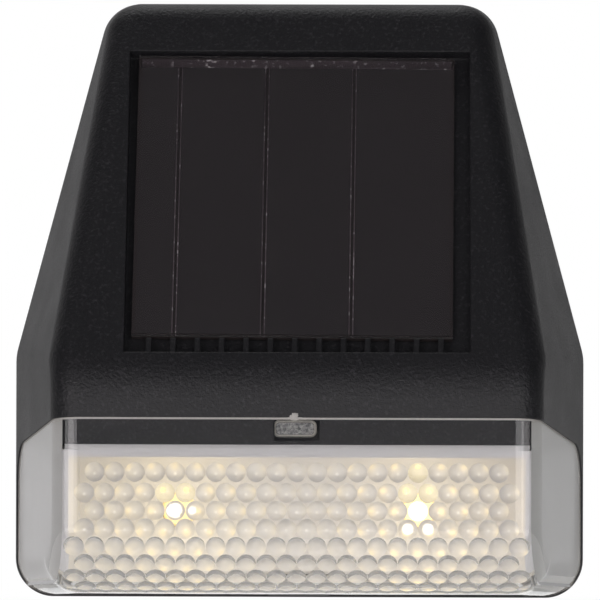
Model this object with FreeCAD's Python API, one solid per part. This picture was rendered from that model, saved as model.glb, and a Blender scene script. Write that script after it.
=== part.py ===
import FreeCAD, Part

import math
import os

from FreeCAD import Placement, Rotation, Vector

# A solar fence light. Millimetres and degrees. X is to the viewer's right, the light faces -Y,
# its flat back is the plane y = 0, and heights in this file count from its bottom edge.
# Every piece is lowered by hang_height as it is saved, so the origin is the keyhole's round hole.

# Overall form
width = 95.0
height = 99.2
depth = 52.0
top_width = 63.4
shoulder_height = 40.4  # the upright sides end here and the slanted ones begin
base_depth = 13.0  # the sides run straight forward this far, then draw in
side_flare = 0.21  # how far each side draws in, per mm forward
belly_rise = 0.05  # how far the underside rises, per mm forward
bend_height = 37.5  # the upright front band ends here and the slope begins
slope_tilt = 29.0  # the slope's lean from upright
front_round = 5.0
foot_round = 6.4
shoulder_round = 9.0
top_round = 6.4
belly_round = 12.0
bend_round = 14.0
hang_height = 80.0

# Shells
housing_wall = 2.4
lens_wall = 1.5
lens_step = 0.25  # the lens lies this far inside the housing's surface
fit_gap = 0.15  # between pieces that meet but must not bind
parting_height = 30.7  # lens top edge at the front
parting_fall = 0.147  # how far that edge drops, per mm rearward
parting_depth = 14.5  # the lens stops this far in front of the back
parting_round = 7.0
floor_wall = 1.8
skirt_wall = 1.6
skirt_height = 26.2  # lower edge of the black skirt behind the lens
skirt_return = 4.0  # how far the skirt's ends turn back
lip_reach = 3.0  # the ring's lip inside the lens
lip_wall = 1.4
lip_root = 3.5

# Pry notch under the lens, filled by a tongue of the housing
notch_width = 10.5
notch_reach = 9.0
notch_draw = 0.5  # each flank draws in by this towards the front
tongue_wall = 1.4

# Snap tab at the top of the lens
tab_width = 7.0
tab_height = 3.0
tab_wall = 1.3
tab_drop = 0.6  # below the lens's top edge
tab_groove = 3.4
gate_radius = 1.25
gate_proud = 0.4  # the gate mark stands this far out of the lens

# Dome grid on the inside of the lens
dome_pitch = 3.29
dome_radius = 1.55
dome_rise = 0.62
dome_row_pitch = 2.9
dome_top = 21.7  # height of the top row
dome_first_step = 3.35  # from the top row to the next
dome_rows = (21, 22, 21, 22, 23, 22, 23, 22, 23, 22, 23)

# Reflector tray
tray_half_width = 37.8
tray_wall = 1.2
tray_back_wall = 1.6
tray_top_height = 25.3
tray_lip = 1.8  # how far the front edge stands above the roof, behind the skirt
tray_bottom_gap = 0.4
led_hole_gap = 0.35
tray_boss_radius = 2.3

# Solar panel and its recess in the slope
recess_start = 4.3  # up the slope from the bend
recess_depth = 2.4
recess_floor = 1.8
recess_border = 2.4
rib_count = 13
rib_width = 0.95
rib_length = 2.9
rib_drop = 0.5  # rib tops below the slope's face
rib_pitch = 3.97
rib_shift = -0.4  # the row's middle, left of the light's
panel_width = 52.4
panel_length = 52.9
panel_skew = 0.4
panel_shift = -0.7  # the panel is stuck down left of the recess's middle
panel_seat_gap = 0.4  # between the ribs and the panel's lower edge
panel_side_gap = 2.05  # mean gap between the panel and the recess's sides
panel_top_gap = 0.85
adhesive_thickness = 0.3
adhesive_margin = 4.0
substrate_thickness = 0.8
cell_thickness = 0.2
cell_margin = 0.5
cell_seam = 0.3
first_cell_width = 6.9
seam_count = 3
cell_pitch = 14.45
busbar_thickness = 0.1
busbar_width = 0.16
top_bus_height = 1.5
cover_sheet_thickness = 0.45
panel_wire_hole = 2.0

# Rear cover, its seal and its screws
cover_thickness = 2.2
cover_inset = 1.4
seal_thickness = 0.6
seal_width = 1.0
cover_screw_top = (22.0, 91.0)
cover_screw_bottom = (39.6, 9.0)
boss_radius = 3.0
boss_web = 2.0
screw_radius = 1.25
screw_length = 9.0
screw_head_radius = 2.5
screw_head_height = 1.4
screw_sink = 1.5  # screw heads lie in seats this deep
screw_seat_gap = 0.3
screw_hole_gap = 0.2
screw_cross = 0.7
screw_cross_depth = 0.9
thread_gap = 0.02

# Keyhole for hanging
key_radius = 4.2
key_slot_width = 3.8
key_slot_rise = 7.0
key_pocket_depth = 5.2
key_pocket_margin = 1.6
pocket_wall = 1.2

# Battery and its compartment
battery_radius = 5.25
battery_length = 43.5
battery_nub_radius = 1.9
battery_nub_length = 1.0
battery_height = 44.0
battery_play = 0.3
battery_end_play = 0.1
spring_room = 4.6
contact_room = 0.5
contact_thickness = 0.4
compartment_wall = 1.4
door_thickness = 2.0
door_backing = 1.2
door_corner = 2.0
door_overlap = 2.2
door_screw_room = 7.0
door_gap = 0.25
door_rib_width = 1.6
door_rib_spread = 12.0
spring_wire_radius = 0.3
spring_turns = 3.5
spring_base_radius = 3.0
spring_tip_radius = 1.9

# Circuit board with two lamps
board_width = 62.0
board_bottom = 6.0
board_top = 24.0
board_thickness = 1.6
board_front = 12.4  # distance of its front face from the back
lamp_spread = 20.0
lamp_height = 14.8
lamp_radius = 2.5
lamp_length = 8.6
lamp_flange_radius = 2.9
lamp_flange_height = 1.0
lead_radius = 0.25
lead_spread = 1.27
lead_tail = 1.2
board_screw_spread = 27.6
board_screw_length = 5.5
board_screw_radius = 1.0
board_screw_head_radius = 1.9
board_screw_head_height = 1.2
chip_size = (5.0, 1.5, 4.0)
chip_leg = (0.4, 0.25, 1.0)
chip_leg_pitch = 1.27
choke_radius = 3.0
choke_length = 7.0
choke_core_radius = 2.1
choke_flange = 1.0
choke_offset = 10.0

# Slide switch on the back
switch_height = 61.5
switch_width = 8.6
switch_tall = 4.4
switch_deep = 3.6
switch_travel = 2.0
slider_width = 2.2
slider_tall = 2.0
slider_sink = 0.5  # slider tip below the back face
switch_dish_width = 9.0
switch_dish_tall = 4.4
switch_dish_depth = 0.9
switch_lug = 2.6
pin_width = 0.6
pin_thickness = 0.3
pin_length = 3.0
pin_pitch = 2.5

# Hook-up wires inside
wire_radius = 0.6
panel_wire_places = (-14.0, -10.0)
panel_wire_lift = 15.0  # above the board's bottom edge, where they are soldered
wire_stand_off = 4.6  # how far wires stand behind the board
battery_wire_lift = 13.0
switch_wire_lift = 14.0
wire_clearance = 2.0  # to the battery compartment and the floor
panel_wire_run = 8.0
tail_length = 2.4  # solder tails of the battery contacts

# Places worked out from the sizes above
lens_inner = lens_step + lens_wall
lens_front = depth - lens_inner
slope_tan = math.tan(math.radians(slope_tilt))
top_depth = depth - (height - bend_height) * slope_tan
front_reach = depth - base_depth
parting_rear_height = parting_height - parting_fall * (depth - parting_depth)
far = 2.0 * max(width, height, depth)
slope = Placement(Vector(0, -depth, bend_height), Rotation(Vector(1, 0, 0), -slope_tilt))
panel_start = recess_start + rib_length + panel_seat_gap
recess_width = panel_width + 2 * panel_side_gap
recess_length = rib_length + panel_seat_gap + panel_length + panel_top_gap
panel_middle = Vector(0, 0, panel_start + panel_length / 2)
adhesive_face = recess_depth - adhesive_thickness
substrate_face = adhesive_face - substrate_thickness
cell_face = substrate_face - cell_thickness
busbar_face = cell_face - busbar_thickness
sheet_face = busbar_face - cover_sheet_thickness
lip_front = parting_depth + lip_reach
tray_back = lip_front + fit_gap
tray_front = depth - lens_inner - fit_gap - skirt_wall - fit_gap
board_back = board_front - board_thickness
compartment_half_width = battery_length / 2 + battery_end_play
battery_left = -compartment_half_width - spring_room
battery_right = compartment_half_width + contact_room
compartment_depth = door_thickness + 2 * battery_radius + 2 * battery_play
compartment_half_height = battery_radius + battery_play
battery_middle = door_thickness + battery_play + battery_radius
seal_depth = cover_thickness + seal_thickness
door_screw_sink = board_screw_head_height + fit_gap / 2


def save(shape, name):
    """write one piece, lowered so that the keyhole is the origin"""
    piece = shape.copy()
    piece.translate(Vector(0, 0, -hang_height))
    solids = piece.Solids
    if not solids or not piece.isValid():
        raise ValueError(name + " is not a sound solid")
    result = solids[0] if len(solids) == 1 else Part.makeCompound(solids)
    result.exportStep("parts/" + name + ".step")
    print(name, len(solids), round(sum(s.Volume for s in solids), 1))


def block(x, y, z):
    """a box between pairs of coordinates"""
    return Part.makeBox(x[1] - x[0], y[1] - y[0], z[1] - z[0], Vector(x[0], y[0], z[0]))


def rod(radius, start, end):
    """a round bar from one point to another"""
    return Part.makeCylinder(radius, (end - start).Length, start, end - start)


def drawn_in(corners, distance):
    """the corners of an anticlockwise outline whose sides are moved inward"""
    sides = []
    for here, there in zip(corners, corners[1:] + corners[:1]):
        run = math.hypot(there[0] - here[0], there[1] - here[1])
        along = ((there[0] - here[0]) / run, (there[1] - here[1]) / run)
        sides.append((here[0] - along[1] * distance, here[1] + along[0] * distance, along))
    shifted = []
    for (ax, ay, a), (bx, by, b) in zip(sides[-1:] + sides[:-1], sides):
        share = ((bx - ax) * b[1] - (by - ay) * b[0]) / (a[0] * b[1] - a[1] * b[0])
        shifted.append((ax + a[0] * share, ay + a[1] * share))
    return shifted


def rounded(corners, radii, place):
    """a closed wire through corners given in two coordinates, each rounded by its radius"""
    stops = []
    for index, corner in enumerate(corners):
        here = Vector(corner[0], corner[1], 0)
        back = (Vector(*corners[index - 1], 0) - here).normalize()
        ahead = (Vector(*corners[(index + 1) % len(corners)], 0) - here).normalize()
        half = back.getAngle(ahead) / 2
        middle = (back + ahead).normalize()
        run = radii[index] / math.tan(half)
        rise = radii[index] / math.sin(half) - radii[index]
        stops.append((here + back * run, here + middle * rise, here + ahead * run))
    edges = []
    for index, (start, middle, end) in enumerate(stops):
        if radii[index] > 0:
            edges.append(Part.Arc(*(place(p.x, p.y) for p in (start, middle, end))).toShape())
        following = stops[(index + 1) % len(stops)][0]
        edges.append(Part.makeLine(place(end.x, end.y), place(following.x, following.y)))
    return Part.Wire(edges)


def side_prism(corners, radii, half_width):
    """a side view, given as (y, z) corners, carried across the width"""
    wire = rounded(corners, radii, lambda y, z: Vector(-half_width, y, z))
    return Part.Face(wire).extrude(Vector(2 * half_width, 0, 0))


def form_core():
    """the body's form drawn in by front_round; growing it again rounds every edge"""
    front_view = [
        (-width / 2, 0),
        (width / 2, 0),
        (width / 2, shoulder_height),
        (top_width / 2, height),
        (-top_width / 2, height),
        (-width / 2, shoulder_height),
    ]
    front_rounds = [foot_round, foot_round, shoulder_round, top_round, top_round, shoulder_round]
    side_view = [
        (-depth, belly_rise * front_reach),
        (-base_depth, 0),
        (depth, 0),
        (depth, height),
        (-top_depth, height),
        (-depth, bend_height),
    ]
    side_rounds = [belly_round, 0, 0, 0, front_round, bend_round]
    drawn = drawn_in(front_view, front_round)
    rounds = [max(r - front_round, 0) for r in front_rounds]

    def section(forward):
        def place(x, z):
            return Vector(x - math.copysign(side_flare * forward, x), -base_depth - forward, z)

        return rounded(drawn, rounds, place)

    straight = Part.Face(section(0)).extrude(Vector(0, base_depth + depth, 0))
    tapered = Part.makeLoft([section(0), section(depth)], True, True)
    profile = side_prism(
        drawn_in(side_view, front_round), [max(r - front_round, 0) for r in side_rounds], width
    )
    return straight.fuse(tapered).common(profile).Solids[0]


core = form_core()
forms = {}


def form(inset):
    """the body's form drawn in all round by inset, running on through the back"""
    if inset not in forms:
        forms[inset] = core.makeOffsetShape(front_round - inset, 0.001, False, False, 0, 0, False)
    return forms[inset]


def above(level):
    """everything higher than a level"""
    return block((-far, far), (-far, far), (level, 2 * far))


def slab(back, front):
    """everything between two distances in front of the back"""
    return block((-far, far), (-front, -back), (-far, far))


def lens_zone(gap):
    """all that lies in front of and below the parting line, drawn in by gap"""
    corners = [
        (-depth - far, -far),
        (-parting_depth, -far),
        (-parting_depth, parting_rear_height),
        (-depth - far, parting_height + parting_fall * far),
    ]
    return side_prism(drawn_in(corners, gap), [0, 0, parting_round, 0], width)


def notch(gap):
    """the trapezoid cut-out in the lens's lower rear edge, opened by gap"""
    half = notch_width / 2 + gap
    reach = parting_depth + notch_reach + gap
    outline = [(half, 0), (half, -parting_depth), (half - notch_draw, -reach)]
    outline += [(-half + notch_draw, -reach), (-half, -parting_depth), (-half, 0)]
    wire = Part.makePolygon([Vector(x, y, -far) for x, y in outline + outline[:1]])
    return Part.Face(wire).extrude(Vector(0, 0, far + foot_round))


def on_slope(shape):
    """carry a shape from upright onto the sloped face"""
    placed = shape.copy()
    placed.Placement = slope.multiply(placed.Placement)
    return placed


def slope_block(x, inward, up):
    """a box on the slope: across, inward from its face and up from the bend"""
    return on_slope(block(x, inward, up))


def mirrored_places(place):
    return [(-place[0], place[1]), (place[0], place[1])]


def screw(radius, length, head_radius, head_height):
    """a pan-head screw along -Y, its head's underside at the origin"""
    head = Part.makeCylinder(head_radius, head_height, Vector(0, 0, 0), Vector(0, 1, 0))
    rim = [e for e in head.Edges if e.Curve.TypeId == "Part::GeomCircle" and e.CenterOfMass.y > 0]
    head = head.makeFillet(head_height * 0.4, rim)
    arm = head_radius * 0.6
    floor = head_height - screw_cross_depth
    for half_x, half_z in ((arm, screw_cross / 2), (screw_cross / 2, arm)):
        head = head.cut(block((-half_x, half_x), (floor, head_height), (-half_z, half_z)))
    shank = rod(radius, Vector(0, 0, 0), Vector(0, -length + radius, 0))
    tip = Part.makeCone(radius, radius * 0.3, radius, Vector(0, -length + radius, 0), Vector(0, -1, 0))
    return head.fuse([shank, tip]).removeSplitter()


def moved(shape, x, y, z):
    placed = shape.copy()
    placed.translate(Vector(x, y, z))
    return placed


def cover_screw_places():
    return mirrored_places(cover_screw_top) + mirrored_places(cover_screw_bottom)


def screw_boss(x, z, reach):
    return rod(boss_radius, Vector(x, -cover_thickness, z), Vector(x, -reach, z))


def housing():
    """the black shell: upper body, rear ring, floor over the lamps and skirt behind the lens"""
    inside = form(housing_wall / 2)
    shell = form(0).cut(form(housing_wall)).common(slab(0, far)).cut(lens_zone(0))
    added = [panel_seat(inside), floor(inside), skirt(), lip(), lip_foot(inside), tongue()]
    for x, z in mirrored_places(cover_screw_top):
        added.append(screw_boss(x, z, depth).common(inside))
    for x, z in mirrored_places(cover_screw_bottom):
        added.append(screw_boss(x, z, parting_depth))
        web = block(
            (min(x, 2 * x), max(x, 2 * x)),
            (-parting_depth, -seal_depth),
            (z - boss_web / 2, z + boss_web / 2),
        )
        added.append(web.common(inside))
    cuts = [cover_rebate(), recess(), tab_window()]
    for x, z in cover_screw_places():
        end = Vector(x, -screw_sink - screw_length - fit_gap, z)
        cuts.append(rod(screw_radius + thread_gap, Vector(x, 0, z), end))
    cuts += [wire_hole(x) for x in panel_wire_places]
    return shell.fuse(added).cut(cuts).fuse(ribs()).removeSplitter()


def panel_seat(inside):
    """the thicker wall round and under the recess"""
    half = recess_width / 2 + recess_border
    up = (recess_start - recess_border, recess_start + recess_length + recess_border)
    return slope_block((-half, half), (0, recess_depth + recess_floor), up).common(inside)


def floor(inside):
    """the wall over the lamps, just above the parting line"""
    band = lens_zone(-floor_wall).cut(lens_zone(0)).common(inside)
    return band.common(above(parting_rear_height - parting_round / 2))


def skirt():
    """the black band behind the lens's upper edge, its ends turned back a little"""
    behind = form(lens_inner + fit_gap).cut(form(lens_inner + fit_gap + skirt_wall))
    room = slab(depth - skirt_return, depth).common(above(skirt_height))
    return behind.common(room).cut(above(parting_height + floor_wall / 2))


def lip():
    """the ring's thin edge that reaches inside the lens"""
    ring = form(lens_inner + fit_gap).cut(form(lens_inner + fit_gap + lip_wall))
    return ring.common(slab(parting_depth, lip_front)).cut(above(parting_rear_height))


def lip_foot(inside):
    """what joins that lip to the ring"""
    ring = inside.cut(form(lens_inner + fit_gap + lip_wall))
    return ring.common(slab(parting_depth - lip_root, parting_depth)).cut(above(parting_rear_height))


def tongue():
    """the black tongue that fills the lens's pry notch"""
    sheet = form(lens_step).cut(form(lens_step + tongue_wall)).common(notch(0))
    return sheet.common(slab(parting_depth - lip_root, far)).cut(above(foot_round))


def cover_rebate():
    """the step in the ring's rear edge that takes the seal and the cover"""
    seat = form(cover_inset - fit_gap).common(slab(-far, seal_depth))
    return seat.cut(form(housing_wall).common(slab(cover_thickness, seal_depth)))


def recess():
    """the hollow in the slope that takes the solar panel"""
    return slope_block(
        (-recess_width / 2, recess_width / 2),
        (-bend_round, recess_depth),
        (recess_start, recess_start + recess_length),
    )


def ribs():
    """the row of small ribs under the panel"""
    row = []
    for index in range(rib_count):
        x = rib_shift + rib_pitch * (index - (rib_count - 1) / 2)
        row.append(
            slope_block(
                (x - rib_width / 2, x + rib_width / 2),
                (rib_drop, recess_depth),
                (recess_start, recess_start + rib_length),
            )
        )
    return row


def wire_hole(x):
    middle = Vector(x, 0, panel_middle.z)
    return on_slope(rod(panel_wire_hole / 2, middle, middle + Vector(0, recess_depth + recess_floor + 1, 0)))


def tab_box(gap):
    """the lens's snap tab, standing on its inner face, grown by gap"""
    top = parting_height - tab_drop + gap
    return block(
        (-tab_width / 2 - gap, tab_width / 2 + gap),
        (-lens_front - lens_wall / 2, -lens_front + tab_wall + gap),
        (top - tab_height - 2 * gap, top),
    )


def tab_window():
    """the opening in the skirt that the snap tab springs into"""
    return tab_box(fit_gap).common(slab(0, lens_front - fit_gap / 2))


def lens_cover():
    """the clear lower cover, a thin shell open at the top and the rear, with domes inside"""
    zone = lens_zone(fit_gap)
    shell = form(lens_step).cut(form(lens_inner)).common(zone)
    shell = shell.cut(notch(fit_gap))
    groove = block(
        (-tab_groove / 2, tab_groove / 2),
        (-lens_front + tab_wall / 2, -lens_front + tab_wall * 2),
        (parting_height - tab_drop - tab_height * 0.6, parting_height),
    )
    tab = tab_box(0).cut(groove)
    shell = shell.fuse([tab, gate_mark()])
    return shell.fuse(domes()).removeSplitter()


def gate_mark():
    """the little lump where the clear plastic was fed in, proud of the top edge"""
    middle = -depth + lens_step + gate_radius - gate_proud
    ball = Part.makeSphere(gate_radius, Vector(0, middle, parting_height - fit_gap))
    return ball.common(slab(lens_front, far)).cut(form(0).cut(lens_zone(fit_gap)))


def dome_path():
    """the lens's inner face in side view: straight down, round the belly, then to the rear"""
    bottom = belly_rise * front_reach + lens_inner
    radius = belly_round - lens_inner
    lean = math.atan(belly_rise)
    turn = math.pi / 2 - lean
    start = bottom + radius * math.tan(turn / 2)
    return start, radius, turn


def dome_place(run):
    """the point and inward direction on the inner face, at a run below the top row"""
    start, radius, turn = dome_path()
    straight = dome_top - start
    if run <= straight:
        return Vector(0, -lens_front, dome_top - run), Vector(0, 1, 0)
    angle = min((run - straight) / radius, turn)
    centre = Vector(0, -lens_front + radius, start)
    out = Vector(0, -math.cos(angle), -math.sin(angle))
    point = centre + out * radius
    beyond = run - straight - radius * turn
    if beyond > 0:
        point = point + Vector(0, math.sin(turn), -math.cos(turn)) * beyond
    return point, out * -1


def domes():
    """staggered rows of shallow domes on the lens's inner face"""
    ball_radius = (dome_radius**2 + dome_rise**2) / (2 * dome_rise)
    found = []
    run = 0.0
    for row, count in enumerate(dome_rows):
        point, inward = dome_place(run)
        sunk = point - inward * (ball_radius - dome_rise)
        half_space = lens_wall / 2
        for index in range(count):
            x = (index - (count - 1) / 2) * dome_pitch
            ball = Part.makeSphere(ball_radius, sunk + Vector(x, 0, 0), inward, 0, 90, 360)
            cap_start = point - inward * half_space + Vector(x, 0, 0)
            cap = Part.makeCylinder(dome_radius, half_space + dome_rise, cap_start, inward)
            found.append(ball.common(cap))
        run += dome_first_step if row == 0 else dome_row_pitch
    return found


def reflector_tray():
    """the white tray: a back plate out to the lens, side walls, a roof and a front lip"""
    inside = form(lens_inner + fit_gap)
    plate = inside.common(slab(tray_back, tray_back + tray_back_wall)).cut(above(tray_top_height))
    walls = form(lens_inner + dome_rise + tray_bottom_gap).common(slab(tray_back, tray_front))
    roof = block(
        (-tray_half_width, tray_half_width),
        (-tray_front, -tray_back),
        (tray_top_height - tray_wall, tray_top_height),
    )
    edge = block(
        (-tray_half_width, tray_half_width),
        (-tray_front, -tray_front + tray_wall),
        (tray_top_height - tray_wall, tray_top_height + tray_lip),
    )
    behind_skirt = form(lens_inner + fit_gap + skirt_wall + fit_gap)
    parts = [roof.common(walls), edge.common(behind_skirt)]
    for side in (-1, 1):
        near = side * (tray_half_width - tray_wall)
        across = (min(near, side * tray_half_width), max(near, side * tray_half_width))
        parts.append(block(across, (-far, far), (0, tray_top_height)).common(walls))
    for x, z in mirrored_places((board_screw_spread, lamp_height)):
        parts.append(rod(tray_boss_radius, Vector(x, -board_front, z), Vector(x, -tray_back, z)))
    tray = plate.fuse(parts)
    holes = []
    for x, z in mirrored_places((board_screw_spread, lamp_height)):
        end = -board_back - board_screw_length - fit_gap
        holes.append(rod(board_screw_radius + thread_gap, Vector(x, 0, z), Vector(x, end, z)))
    for x, z in mirrored_places((lamp_spread, lamp_height)):
        holes.append(rod(lamp_radius + led_hole_gap, Vector(x, 0, z), Vector(x, -depth, z)))
    return tray.common(lens_zone(fit_gap)).cut(holes).removeSplitter()


def panel_block(x, inward, up):
    """a layer of the panel, which lies a little aslant: up counts from its lower edge"""
    layer = block(x, inward, (panel_start + up[0], panel_start + up[1]))
    layer.rotate(panel_middle, Vector(0, 1, 0), panel_skew)
    layer.translate(Vector(panel_shift, 0, 0))
    return on_slope(layer)


def panel_adhesive():
    half = panel_width / 2 - adhesive_margin
    up = (adhesive_margin, panel_length - adhesive_margin)
    pad = panel_block((-half, half), (adhesive_face, recess_depth), up)
    return pad.cut([wire_hole(x) for x in panel_wire_places])


def solar_substrate():
    half = panel_width / 2
    return panel_block((-half, half), (substrate_face, adhesive_face), (0, panel_length))


def seam_places():
    """where one cell ends and the next begins, across the panel"""
    first = -panel_width / 2 + first_cell_width
    return [first + cell_pitch * index for index in range(seam_count)]


def solar_cells():
    """the dark cell strips, set apart by narrow seams"""
    left = -panel_width / 2 + cell_margin
    strips = []
    for end in seam_places() + [panel_width / 2 - cell_margin + cell_seam / 2]:
        across = (left, end - cell_seam / 2)
        up = (cell_margin, panel_length - cell_margin)
        strips.append(panel_block(across, (cell_face, substrate_face), up))
        left = end + cell_seam / 2
    return Part.makeCompound(strips)


def solar_busbars():
    """the strip along the panel's upper edge and a pair of ribbons down each seam"""
    inward = (busbar_face, cell_face)
    top = panel_length - cell_margin
    half = panel_width / 2 - cell_margin
    comb = panel_block((-half, half), inward, (top - top_bus_height, top))
    ribbons = []
    for seam in seam_places():
        for side in (-1, 1):
            middle = seam + side * (cell_seam / 2 + busbar_width)
            across = (middle - busbar_width / 2, middle + busbar_width / 2)
            ribbons.append(panel_block(across, inward, (cell_margin, top)))
    return comb.fuse(ribbons).removeSplitter()


def solar_cover_sheet():
    half = panel_width / 2
    return panel_block((-half, half), (sheet_face, busbar_face), (0, panel_length))


def compartment_room(grow, front):
    """the battery's space, grown by a wall, as deep as front"""
    return block(
        (battery_left - grow, battery_right + grow),
        (-front, -cover_thickness / 2),
        (battery_height - compartment_half_height - grow, battery_height + compartment_half_height + grow),
    )


def door_plate(gap, thickness):
    """the battery door's outline, grown by gap"""
    half = compartment_half_height + door_overlap + gap
    left = battery_left - door_overlap - gap
    right = battery_right + door_screw_room + gap
    low, high = battery_height - half, battery_height + half
    corners = [(left, low), (right, low), (right, high), (left, high)]
    wire = rounded(corners, [door_corner + gap] * 4, lambda x, z: Vector(x, 0, z))
    return Part.Face(wire).extrude(Vector(0, -thickness, 0))


def door_screw_place():
    return battery_right + (door_screw_room + compartment_wall) / 2, battery_height


def door_screw_hole(x, tip, z):
    return rod(board_screw_radius + thread_gap, Vector(x, 0, z), Vector(x, tip, z))


def keyhole():
    """the round entry hole and the slot above it"""
    entry = rod(key_radius, Vector(0, 0, hang_height), Vector(0, -depth, hang_height))
    half = key_slot_width / 2
    top = hang_height + key_slot_rise
    slot = block((-half, half), (-depth, 0), (hang_height, top))
    end = rod(half, Vector(0, 0, top), Vector(0, -depth, top))
    return entry.fuse([slot, end])


def key_pocket(wall, front):
    """the blind pocket behind the keyhole, which takes the screw's head"""
    half = key_radius + key_pocket_margin / 2 + wall
    return block(
        (-half, half),
        (-front, -cover_thickness + (0 if wall else fit_gap)),
        (hang_height - half, hang_height + key_slot_rise + half),
    )


def rear_cover():
    """the flat back: keyhole, battery compartment, switch window and screw seats"""
    plate = form(cover_inset).common(slab(0, cover_thickness))
    pocket_front = cover_thickness + key_pocket_depth
    shaft_x, shaft_z = door_screw_place()
    shaft_tip = -door_screw_sink - board_screw_length - fit_gap
    shaft_end = Vector(shaft_x, shaft_tip - pocket_wall, shaft_z)
    added = [
        door_plate(door_gap + pocket_wall, door_thickness + door_backing).common(slab(cover_thickness, far)),
        key_pocket(pocket_wall, pocket_front + pocket_wall),
        compartment_room(compartment_wall, compartment_depth + compartment_wall),
        rod(board_screw_head_radius + pocket_wall / 2, Vector(shaft_x, -cover_thickness, shaft_z), shaft_end),
    ]
    for side in (-1, 1):
        low = switch_height + side * (switch_tall / 2 + fit_gap + pocket_wall / 2) - pocket_wall / 2
        across = (-switch_width / 2, switch_width / 2)
        inward = (-cover_thickness - switch_lug, -cover_thickness)
        added.append(block(across, inward, (low, low + pocket_wall)))
    cover = plate.fuse(added)
    cuts = [
        keyhole().common(slab(0, cover_thickness)),
        key_pocket(0, pocket_front),
        compartment_room(0, compartment_depth),
        door_plate(door_gap, door_thickness),
        door_screw_hole(shaft_x, shaft_tip, shaft_z),
        switch_dish(),
        switch_window().common(slab(0, cover_thickness)),
    ]
    for x, z in cover_screw_places():
        head_room = screw_head_radius + screw_seat_gap
        cuts.append(rod(head_room, Vector(x, 0, z), Vector(x, -screw_sink, z)))
        cuts.append(rod(screw_radius + screw_hole_gap, Vector(x, 0, z), Vector(x, -cover_thickness, z)))
    for x in contact_tails():
        cuts.append(contact_tail(x, thread_gap))
    return cover.cut(cuts).removeSplitter()


def cover_seal():
    ring = form(cover_inset).cut(form(cover_inset + seal_width))
    return ring.common(slab(cover_thickness, seal_depth))


def cover_screws():
    one = screw(screw_radius, screw_length, screw_head_radius, screw_head_height)
    return Part.makeCompound([moved(one, x, -screw_sink, z) for x, z in cover_screw_places()])


def battery_cell():
    """one AAA cell lying across, its nub to the right"""
    left = Vector(-battery_length / 2, -battery_middle, battery_height)
    shoulder = left + Vector(battery_length - battery_nub_length, 0, 0)
    can = rod(battery_radius, left, shoulder)
    can = can.makeFillet(battery_radius * 0.1, [e for e in can.Edges if e.Closed])
    return can.fuse(rod(battery_nub_radius, shoulder, shoulder + Vector(battery_nub_length, 0, 0)))


def contact_tails():
    """the middles of the two contact plates, left and right"""
    return battery_left + contact_thickness / 2, battery_right - contact_thickness / 2


def contact_plate(x):
    half = compartment_half_height * 0.75
    return block(
        (x - contact_thickness / 2, x + contact_thickness / 2),
        (-battery_middle - half, -battery_middle + half),
        (battery_height - compartment_half_height + fit_gap, battery_height + half),
    )


def contact_tail(x, gap):
    """the narrow tail of a contact plate, out through the compartment's lower wall"""
    low = battery_height - compartment_half_height - compartment_wall - tail_length
    return block(
        (x - contact_thickness / 2 - gap, x + contact_thickness / 2 + gap),
        (-battery_middle - pin_width - gap, -battery_middle + pin_width + gap),
        (low, battery_height - compartment_half_height + 2 * fit_gap),
    )


def battery_contact():
    x = contact_tails()[1]
    return contact_plate(x).fuse(contact_tail(x, 0)).removeSplitter()


def battery_spring():
    """the conical spring that presses on the cell's flat end, on its plate"""
    x = contact_tails()[0]
    base = x + contact_thickness / 2
    reach = -battery_length / 2 - battery_end_play - base - 1.5 * spring_wire_radius
    lean = math.degrees(math.atan((spring_base_radius - spring_tip_radius) / reach))
    helix = Part.makeHelix(reach / spring_turns, reach, spring_base_radius, -lean)
    start = Vector(spring_base_radius, 0, 0)
    section = Part.Wire([Part.makeCircle(spring_wire_radius, start, Vector(0, 1, 0))])
    coil = Part.Wire(helix.Edges).makePipeShell([section], True, True)
    coil.rotate(Vector(0, 0, 0), Vector(0, 1, 0), 90)
    coil = moved(coil, base + spring_wire_radius / 2, -battery_middle, battery_height)
    return contact_plate(x).fuse([contact_tail(x, 0), coil])


def battery_door():
    """the flat door over the battery, with two ribs that hold the cell down"""
    plate = door_plate(0, door_thickness)
    ribs_in = []
    depth_to_cell = battery_middle - battery_radius * math.cos(math.asin(0.5)) - fit_gap
    for side in (-1, 1):
        x = side * door_rib_spread
        for level in (-1, 1):
            z = battery_height + level * battery_radius * 0.6
            low = z - door_rib_width / 2
            across = (x - door_rib_width / 2, x + door_rib_width / 2)
            ribs_in.append(block(across, (-depth_to_cell, -door_thickness), (low, low + door_rib_width)))
    x, z = door_screw_place()
    holes = [
        rod(board_screw_radius + screw_hole_gap, Vector(x, 0, z), Vector(x, -door_thickness, z)),
        rod(board_screw_head_radius + screw_seat_gap, Vector(x, 0, z), Vector(x, -door_screw_sink, z)),
    ]
    return plate.fuse(ribs_in).cut(holes).removeSplitter()


def small_screw():
    return screw(board_screw_radius, board_screw_length, board_screw_head_radius, board_screw_head_height)


def battery_door_screw():
    x, z = door_screw_place()
    return moved(small_screw(), x, -door_screw_sink, z)


def circuit_board():
    half = board_width / 2
    board = block((-half, half), (-board_front, -board_back), (board_bottom, board_top))
    holes = []
    for x, z in mirrored_places((board_screw_spread, lamp_height)):
        holes.append(rod(board_screw_radius + screw_hole_gap, Vector(x, 0, z), Vector(x, -depth, z)))
    for x in lead_places():
        holes.append(rod(lead_radius + thread_gap, Vector(x, 0, lamp_height), Vector(x, -depth, lamp_height)))
    return board.cut(holes)


def lead_places():
    return [side * lamp_spread + lead * lead_spread for side in (-1, 1) for lead in (-1, 1)]


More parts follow.
